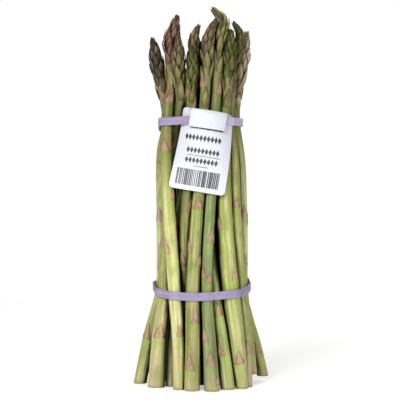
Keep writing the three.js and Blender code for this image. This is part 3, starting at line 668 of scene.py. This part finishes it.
def skinMaterial(name, tones):
    # fresh asparagus skin, waxy and ribbed: long soft streaks of beige and green, rosy scale
    # leaves that melt into it above a green lip, drier at the foot, painted shade where spears meet
    material, add, finish = newMaterial(name)
    straight, leaf, marks, lightIn = readSpear(add)
    rising, deep, light = tones
    height = add("SeparateXYZ", [straight]).outputs["Z"]
    rise = add("Math", [height, 240.0], operation="DIVIDE")
    base = add("ValToRGB", [rise], rising)
    noise, share = {}, {}
    for pattern, (scale, away, detail, stops) in skinPatterns.items():
        place = add("Mapping", {0: straight, 1: (away, 0, 0), 3: scale})
        noise[pattern] = add("TexNoise", {"Vector": place, "Scale": 1.0, "Detail": detail})
        share[pattern] = add("ValToRGB", [noise[pattern]], stops)
    dryness = add("Math", [marks["Y"], 0.6], operation="MULTIPLY")
    # the last millimetres by the cut have dried brown
    rind = add("MapRange", [marks["Y"], 0.78, 1.0, 0.0, 0.8])
    # the streaks and the lip are duller towards the head
    upward = add("MapRange", [rise, 0.48, 0.68, 0.0, 0.9])
    deep, light, lip = [
        add("Mix", {0: upward, 6: low, 7: high}, data_type="RGBA").outputs[2]
        for low, high in ((deep, "#667036"), (light, "#90945E"), ("#93A644", "#6E7836"))]
    lipHere = add("MapRange", [marks["X"], 0.0, 1.0, 0.0, 0.75])
    blush = add("MapRange", [marks["X"], 0.0, -1.0, 0.0, 0.95])
    blush = add("Math", [blush, share["blotches"]], operation="MULTIPLY")
    stronger = add("MapRange", [rise, 0.5, 0.8, 0.3, 1.0])
    blush = add("Math", [blush, stronger], operation="MULTIPLY")
    # painted shade: the last layer darkens the skin near black towards the head, where it shows
    # between the bracts
    skin = paint(add, base, [
        (share["flats"], deep), (share["ribs"], light), (share["stains"], deep),
        (share["rust"], "#9A7850"), (share["flecks"], "#6E5638"), (blush, "#A07458"),
        (lipHere, lip), (dryness, "#B4A47C"), (rind, "#8C7448"), (marks["Z"], "#342A1A")])
    # a scale leaf, by its place across and along: blotched mauve or tan body that melts into
    # the skin towards its tip, a thin dark rim, and a green lip at its root
    side = add("Math", [leaf["X"]], operation="ABSOLUTE")
    rim = add("ValToRGB", [side], [(0.6, 0.0), (1.0, 0.35)])
    body = add("ValToRGB", [leaf["Z"]], [
        (0.05, "#9E745A"), (0.25, "#985F58"), (0.5, "#A6706A"), (0.7, "#8E6A4C"),
        (0.95, "#9C7A5E")])
    body = add("Mix", {0: share["blotches"], 6: body, 7: "#B28A7C"}, data_type="RGBA").outputs[2]
    cover = add("ValToRGB", [leaf["Y"]], [(0.02, 0.2), (0.08, 1.0), (0.6, 0.95), (1.0, 0.4)])
    patchy = add("MapRange", [noise["rust"], 0.35, 0.6, 1.0, 0.5])
    cover = add("Math", [cover, patchy], operation="MULTIPLY")
    root = add("ValToRGB", [leaf["Y"]], [(0.0, 0.85), (0.1, 0.0)])
    scale = paint(add, skin, [(cover, body), (rim, "#8A6450"), (root, lip)])
    isLeaf = add("Math", [leaf["Z"], 0.001], operation="GREATER_THAN")
    whole = add("Mix", {0: isLeaf, 6: skin, 7: scale}, data_type="RGBA").outputs[2]
    # painted shade: the colour is multiplied by lightIn, and the gloss is dimmed by it
    shaded = add("Mix", {0: 1.0, 6: whole, 7: lightIn}, data_type="RGBA", blend_type="MULTIPLY")
    finish({"Base Color": shaded.outputs[2], "IOR": 1.4,
            "Normal": add("Bump", {"Height": noise["ribs"], "Strength": 0.35, "Distance": 0.0003}),
            "Roughness": add("MapRange", [noise["stains"], 0.3, 0.7, 0.36, 0.5]),
            "Specular IOR Level": add("Math", [lightIn, 0.4], operation="MULTIPLY")})
    return material


def bractMaterial(name, tones):
    # bracts of the head: papery, green at the root and darkened there by painted shade, brown,
    # purple or olive above it, with a light edge and fine veins
    material, add, finish = newMaterial(name)
    straight, leaf, marks, lightIn = readSpear(add)
    bodies, edge, green = tones
    upper = add("ValToRGB", [leaf["Z"]], zip((0.05, 0.35, 0.65, 0.95), bodies))
    rooted = add("ValToRGB", [leaf["Y"]], [(0.1, 0.8), (0.55, 0.0)])
    blotches = add("Mapping", {0: straight, 3: (0.6, 0.6, 0.35)})
    blotches = add("TexNoise", {"Vector": blotches, "Scale": 1.0, "Detail": 3.0})
    greener = add("ValToRGB", [blotches], [(0.52, 0.0), (0.64, 0.8)])
    redder = add("ValToRGB", [blotches], [(0.36, 0.5), (0.46, 0.0)])
    upper = paint(add, upper, [(greener, green), (redder, bodies[1]), (rooted, green)])
    low = add("ValToRGB", [leaf["Y"]], [
        (0.0, "#98A04E"), (0.2, "#8C7A56"), (0.6, bodies[3]), (1.0, "#80704C")])
    side = add("Math", [leaf["X"]], operation="ABSOLUTE")
    rim = add("ValToRGB", [side], [(0.66, 0.0), (0.95, 0.5)])
    free = add("ValToRGB", [leaf["Y"]], [(0.25, 0.0), (0.5, 1.0)])
    rim = add("Math", [rim, free], operation="MULTIPLY")
    body = paint(add, low, [(marks["Z"], upper), (rim, edge)])
    # veins run up the leaf, drawn 0.8 mm apart
    veinPlace = add("Mapping", {0: straight, 3: (1.3, 1.3, 0.12)})
    veins = add("TexNoise", {"Vector": veinPlace, "Scale": 1.0, "Detail": 3.0})
    veinShade = add("ValToRGB", [veins], [(0.35, 0.45), (0.62, 1.0)])
    # the veins darken the colour, and lightIn paints shade between the spears and beside the bracts
    # over them
    body = paint(add, body, [(1.0, veinShade), (1.0, lightIn)], blend_type="MULTIPLY")
    finish({"Base Color": body, "Roughness": 0.5,
            "Normal": add("Bump", {"Height": veins, "Strength": 0.4, "Distance": 0.0003}),
            "Specular IOR Level": add("Math", [lightIn, 0.3], operation="MULTIPLY")})
    return material


def cutMaterial():
    # the cut end: moist cream flesh dotted with fibre strands, browned by drying
    material, add, finish = newMaterial("cutFlesh")
    place = add("TexCoord").outputs["Object"]
    # fibre strands about 0.8 mm apart
    cells = add("TexVoronoi", {"Vector": place, "Scale": 1250.0})
    dots = add("ValToRGB", [cells], [(0.1, "#8E8450"), (0.35, "#D2C68E"), (1.0, "#DDD3A2")])
    stain = add("TexNoise", {"Vector": place, "Scale": 260.0, "Detail": 3.0})
    stainShade = add("ValToRGB", [stain], [(0.4, 0.0), (0.75, 0.7)])
    flesh = add("Mix", {0: stainShade, 6: dots, 7: "#8C6F48"}, data_type="RGBA")
    finish({"Base Color": flesh.outputs[2], "Roughness": 0.6,
            "Normal": add("Bump", {"Height": cells, "Strength": 0.4, "Distance": 0.0003})})
    return material


skins = {skin: skinMaterial(f"asparagusSkin_{skin}", tones) for skin, tones in skinTones.items()}
leafFinishes = {head: bractMaterial(f"scaleLeaf_{head}", tones)
                for head, tones in headTones.items()}
cutFlesh = cutMaterial()
leafForm = makeLeafForm()
for index, spear in enumerate(spears):
    toPiece(dressSpear(spear, index, leafForm), "asparagus_" + spear["name"],
            [skins[spear["skin"]], leafFinishes[spear["head"]], cutFlesh],
            "spear_" + spear["name"])
bpy.data.meshes.remove(leafForm)
print("spears dressed")


bands = {
    "width": 5, "thickness": 1, "gap": 0.55, "steps": 288,
    # middle height, and its waves by the bearing's cosine, its sine and its double's sine
    "lower": (lay["lowBand"] + 2.4, -5, 0.6, 0), "upper": (lay["highBand"] - 1, 1.3, 1.5, -1.2),
    # the rounded section, as (through the band, along its width), each -1 to 1
    "section": [(-1, -0.86), (-0.8, -0.97), (-0.4, -1), (0.4, -1), (0.8, -0.97), (1, -0.86),
                (1, -0.4), (1, 0), (1, 0.4), (1, 0.86), (0.8, 0.97), (0.4, 1), (-0.4, 1),
                (-0.8, 0.97), (-1, 0.86), (-1, 0)],
}


def bandHeight(which, bearing):
    middle, byCosine, bySine, byTwice = bands[which]
    return (middle + byCosine * np.cos(bearing) + bySine * np.sin(bearing)
            + byTwice * np.sin(2 * bearing))


def bandLoop(which, others):
    # where a stretched loop touches whatever stands out furthest, at each bearing
    loop, half = [], bands["width"] / 2
    for k in range(bands["steps"]):
        bearing = k * 2 * math.pi / bands["steps"]
        out = np.array([math.sin(bearing), -math.cos(bearing)])
        middle = bandHeight(which, bearing)
        touched = list(others)
        for z in (middle - half, middle, middle + half):
            for spear in spears:
                if spear["foot"] < z < spear["tip"]:
                    here, above = centre(spear, np.array([z, z + 1]))
                    lean = np.linalg.norm(above - here)  # a leaning spear's cut is wider
                    touched.append((here[0], here[1], float(coreRadius(spear, z)) * lean))
        x, y, radius = max(touched, key=lambda c: c[0] * out[0] + c[1] * out[1] + c[2])
        loop.append((x, y, radius, *out))
    return loop


def cardLift(u, v):
    left, right = card["tongue"]
    beside = np.maximum(np.maximum(left - u, u - right), 0)
    rise = np.where(beside < card["slot"] / 2, through(card["lift"], v),
                    card["lift"][0][1] * np.clip(1 - beside / card["fadeAside"], 0, 1)
                    * np.clip(1 - v / card["fadeDown"], 0, 1))
    return np.where(v > card["tongueEnd"] + card["slot"] / 2, 0, rise)


def cardPoint(u, v, depth):
    # u across, v down from the top edge, depth outwards
    side = np.abs(u) - (card["width"] / 2 - card["corner"])
    end = np.abs(v - card["length"] / 2) - (card["length"] / 2 - card["corner"])
    cornered = (side > 0) & (end > 0)
    rounding = np.where(cornered, np.maximum(side, end) / np.maximum(np.hypot(side, end), 1e-9), 1)
    across = u - np.sign(u) * np.maximum(side, 0) * (1 - rounding)
    down = v - np.sign(v - card["length"] / 2) * np.maximum(end, 0) * (1 - rounding)
    cosTilt, sinTilt = math.cos(card["tilt"]), math.sin(card["tilt"])
    x = card["top"][0] + across * cosTilt - down * sinTilt - card["bendCentre"]
    z = card["top"][1] - across * sinTilt - down * cosTilt
    bend = through(card["bend"], v)
    radius = 1 / bend + depth + cardLift(u, v)
    front = through(card["front"], v) + 1 / bend
    return np.stack([card["bendCentre"] + radius * np.sin(x * bend),
                     front - radius * np.cos(x * bend), z], -1)


def rubberMaterial():
    # soft lavender rubber band: matt, a little cloudy, with faint lines along its stretch,
    # paler at the upper right where it is stretched thin
    material, add, finish = newMaterial("lavenderRubber")
    place = add("TexCoord").outputs["Object"]
    cloud = add("TexNoise", {"Vector": place, "Scale": 180.0, "Detail": 3.0})
    # lines along the band about 0.6 mm apart
    linePlace = add("Mapping", {0: place, 3: (30.0, 30.0, 1600.0)})
    lines = add("TexNoise", {"Vector": linePlace, "Scale": 1.0, "Detail": 2.0})
    both = add("Math", [cloud, lines], operation="MULTIPLY")
    tone = add("ValToRGB", [both], [(0.15, "#8C809E"), (0.3, "#9C8FAE"), (0.42, "#A89CBA")])
    where = add("SeparateXYZ", [place]).outputs
    upper = add("MapRange", [where["Z"], 0.1, 0.15])
    right = add("MapRange", [where["X"], 0.0, 0.022])
    thin = add("Math", [upper, right], operation="MULTIPLY")
    paler = add("Mix", {0: thin, 6: tone, 7: "#C8BADB"}, data_type="RGBA")
    finish({"Base Color": paler.outputs[2], "Roughness": 0.6,
            "Normal": add("Bump", {"Height": lines, "Strength": 0.25, "Distance": 0.0001}),
            "Specular IOR Level": 0.35})
    return material


def makeBand(which, others, material):
    loop = bandLoop(which, others)
    ring = bmesh.new()
    count = len(bands["section"])
    bmesh.ops.create_grid(ring, x_segments=bands["steps"], y_segments=count, size=0.5)
    for vert in ring.verts:
        step = round((vert.co.x + 0.5) * bands["steps"]) % bands["steps"]
        deep, wide = bands["section"][round((vert.co.y + 0.5) * count) % count]
        x, y, radius, outX, outY = loop[step]
        reach = radius + bands["gap"] + bands["thickness"] * (deep + 1) / 2
        x, y = x + outX * reach, y + outY * reach
        z = bandHeight(which, math.atan2(x, -y)) + wide * bands["width"] / 2
        vert.co = (x * metres, y * metres, z * metres)
    bmesh.ops.remove_doubles(ring, verts=ring.verts, dist=1e-6)
    bmesh.ops.recalc_face_normals(ring, faces=ring.faces)
    toPiece(ring, which + "_band", [material], "band_" + which)


lavenderRubber = rubberMaterial()
edges = [*card["marginEdges"], card["tongue"][0] - card["slot"], card["tongue"][1] + card["slot"],
         -card["width"] / 2, card["width"] / 2]
margins = [(*cardPoint(u, v, card["thickness"])[:2], 0.0)
           for u in sorted(edges) for v in card["bandAt"]]
makeBand("lower", [], lavenderRubber)
makeBand("upper", margins, lavenderRubber)
print("bands stretched")


printing = {
    # boxes as left, right, top and bottom in mm on the card
    "stripes": (-14, 12.7, 37.4, 47.5),
    # one stripe to each pitch, of a random share of it
    "pitch": 1.1, "leastShare": 0.4, "mostShare": 1.0,
    "rules": [(-9.4, 11.1, 28.4, 28.8), (-4.6, 4.6, 35, 35.4)],
    # a lozenge is twice halfWidth wide, and its row ends at odd multiples of it
    "halfWidth": 1.15,
    "lozenges": [(-12.65, 10.35, 15.4, 19.8), (-10.35, 10.35, 23.4, 27.6),
                 (-10.35, 10.35, 29.6, 33.8)],
}


def cardMaterial():
    # coated card, bright white and smooth, with dark grey print
    material, add, finish = newMaterial("coatedCard")
    place = add("UVMap", uv_map="cardFace")  # millimetres across and down
    split = add("SeparateXYZ", [place]).outputs
    across, down = split["X"], split["Y"]

    def fromMiddle(value, low, high):
        away = add("Math", [value, (low + high) / 2], operation="SUBTRACT")
        return add("Math", [away], operation="ABSOLUTE")

    def within(left, right, top, bottom):
        # 1 inside a box on the card
        sides = [add("Math", [fromMiddle(value, low, high), (high - low) / 2],
                     operation="LESS_THAN")
                 for value, low, high in ((across, left, right), (down, top, bottom))]
        return add("Math", sides, operation="MULTIPLY")

    # stripes of random widths that stand for nothing
    count = add("Math", [across, printing["pitch"]], operation="DIVIDE")
    turn = add("Math", [count], operation="FLOOR")
    chance = add("TexWhiteNoise", {"W": turn}, noise_dimensions="1D")
    share = add("MapRange", [chance, 0.0, 1.0, printing["leastShare"], printing["mostShare"]])
    along = add("Math", [count], operation="FRACT")
    stripe = add("Math", [along, share], operation="LESS_THAN")
    ink = add("Math", [stripe, within(*printing["stripes"])], operation="MULTIPLY")
    for rule in printing["rules"]:
        ink = add("Math", [ink, within(*rule)], operation="MAXIMUM")
    halfWidth = printing["halfWidth"]
    beat = add("Math", [across, halfWidth], operation="PINGPONG")
    for left, right, top, bottom in printing["lozenges"]:
        room = add("MapRange", [fromMiddle(down, top, bottom), 0.0, (bottom - top) / 2,
                                halfWidth, 0.0])
        lozenge = add("Math", [beat, room], operation="LESS_THAN")
        lozenge = add("Math", [lozenge, within(left, right, top, bottom)], operation="MULTIPLY")
        ink = add("Math", [ink, lozenge], operation="MAXIMUM")
    grain = add("TexCoord").outputs["Object"]
    paper = add("TexNoise", {"Vector": grain, "Scale": 900.0, "Detail": 2.0})
    stock = add("ValToRGB", [paper], [(0.3, "#D0D4DD"), (0.7, "#D8DBE2")])
    ink = add("Math", [ink, 0.94], operation="MULTIPLY")
    printed = add("Mix", {0: ink, 6: stock, 7: "#1E1E22"}, data_type="RGBA")
    finish({"Base Color": printed.outputs[2], "Roughness": 0.42,
            "Normal": add("Bump", {"Height": paper, "Strength": 0.08, "Distance": 0.0001})})
    return material


def lined(edges, step):
    # even lines about a step apart that pass through every edge
    lines = [edges[0]]
    for low, high in zip(edges, edges[1:]):
        count = max(round((high - low) / step), 1)
        lines += [low + (high - low) * (k + 1) / count for k in range(count)]
    return lines


def makeCard():
    halfWidth, slot = card["width"] / 2, card["slot"]
    (left, right), top, end = card["tongue"], card["tongueTop"], card["tongueEnd"]
    uLines = lined([-halfWidth, left - slot, left, right, right + slot, halfWidth], 0.7)
    vLines = lined([0, top, end, end + slot, card["length"]], 0.9)
    sheet = bmesh.new()
    bmesh.ops.create_grid(sheet, x_segments=len(uLines) - 1, y_segments=len(vLines) - 1, size=0.5)
    for vert in sheet.verts:
        vert.co = (uLines[round((vert.co.x + 0.5) * (len(uLines) - 1))],
                   vLines[round((vert.co.y + 0.5) * (len(vLines) - 1))], 0)
    gone = []
    for face in sheet.faces:
        u, v, _ = face.calc_center_median()
        freed = left - slot < u < right + slot and top < v < end + slot
        if freed and not (left < u < right and v < end):  # a slot beside or below the tongue
            gone.append(face)
    bmesh.ops.delete(sheet, geom=gone, context="FACES")
    thicken(sheet, card["thickness"])
    flat = np.array([vert.co[:] for vert in sheet.verts])
    faceMap = sheet.loops.layers.uv.new("cardFace")
    for face in sheet.faces:
        front = all(flat[vert.index][2] > card["thickness"] * 0.9 for vert in face.verts)
        for corner in face.loops:
            u, v, _ = flat[corner.vert.index]
            corner[faceMap].uv = (u, v) if front else (100, 100)
    points = cardPoint(*flat.T)
    for vert, point in zip(sheet.verts, points):
        vert.co = point * metres
    bmesh.ops.recalc_face_normals(sheet, faces=sheet.faces)
    piece = toPiece(sheet, "tag_card", [cardMaterial()], "produce_card")
    piece.data.set_sharp_from_angle(angle=math.radians(40))


makeCard()
print("card hung")


studio = {
    # metres, and the strengths of what the camera sees round the floor and of the fill
    "floor": 0.9, "fadeFrom": 0.25, "fadeTo": 0.8, "surround": 1.0, "fill": 0.28,
    "floorGlow": 0.45, "aim": (0, 0, 0.12), "camera": (0, -0.8, 0.117), "lens": 113,
    # round lights: place, metres across, watts
    "lights": {"keyLight": ((-0.42, -1.0, 0.6), 0.5, 9.4),
               "frontLight": ((0.35, -1.2, 0.25), 0.7, 4),
               "backLight": ((0.5, 0.9, 0.7), 0.6, 4)},
}


def makeFloor():
    # matt white studio floor that fades into the white surround
    material, add, finish = newMaterial("studioFloor")
    place = add("TexCoord").outputs["Object"]
    away = add("VectorMath", [place], operation="LENGTH").outputs["Value"]
    finish({"Alpha": add("MapRange", [away, studio["fadeFrom"], studio["fadeTo"], 1.0, 0.0]),
            "Base Color": "#F4F4F2", "Emission Color": "#FFFFFF", "Roughness": 0.9,
            "Emission Strength": studio["floorGlow"], "Specular IOR Level": 0.1})
    disc = bmesh.new()
    bmesh.ops.create_circle(disc, cap_ends=True, segments=64, radius=studio["floor"])
    toObject(disc, "studioFloor", [material])


def addLight(name, place, size, power):
    data = bpy.data.lights.new(name, "AREA")
    data.shape, data.size, data.energy = "DISK", size, power
    light = newObject(name, data)
    light.location = place
    x, y, z = [a - b for a, b in zip(place, studio["aim"])]
    light.rotation_euler = (math.pi / 2 - math.atan2(z, math.hypot(x, y)), 0, math.atan2(x, -y))


def makeSurround():
    world = bpy.data.worlds.new("studioSurround")
    bpy.context.scene.world = world
    world.use_nodes = True
    world.node_tree.nodes.clear()
    add = partial(addNode, world.node_tree)
    seen = add("LightPath").outputs["Is Camera Ray"]
    bright = add("Background", ["#FFFFFF", studio["surround"]])
    dim = add("Background", ["#FFFFFF", studio["fill"]])
    add("OutputWorld", [add("MixShader", [seen, dim, bright])])


makeFloor()
makeSurround()
for name, (place, size, power) in studio["lights"].items():
    addLight(name, place, size, power)
bpy.context.scene.view_settings.view_transform = "Standard"

cameraData = bpy.data.cameras.new("camera")
cameraData.lens, cameraData.sensor_width = studio["lens"], 36
cameraData.clip_start, cameraData.clip_end = 0.05, 20
camera = newObject("camera", cameraData)
camera.location = studio["camera"]
camera.rotation_euler = (math.pi / 2, 0, 0)
bpy.context.scene.camera = camera
print("studio lit")
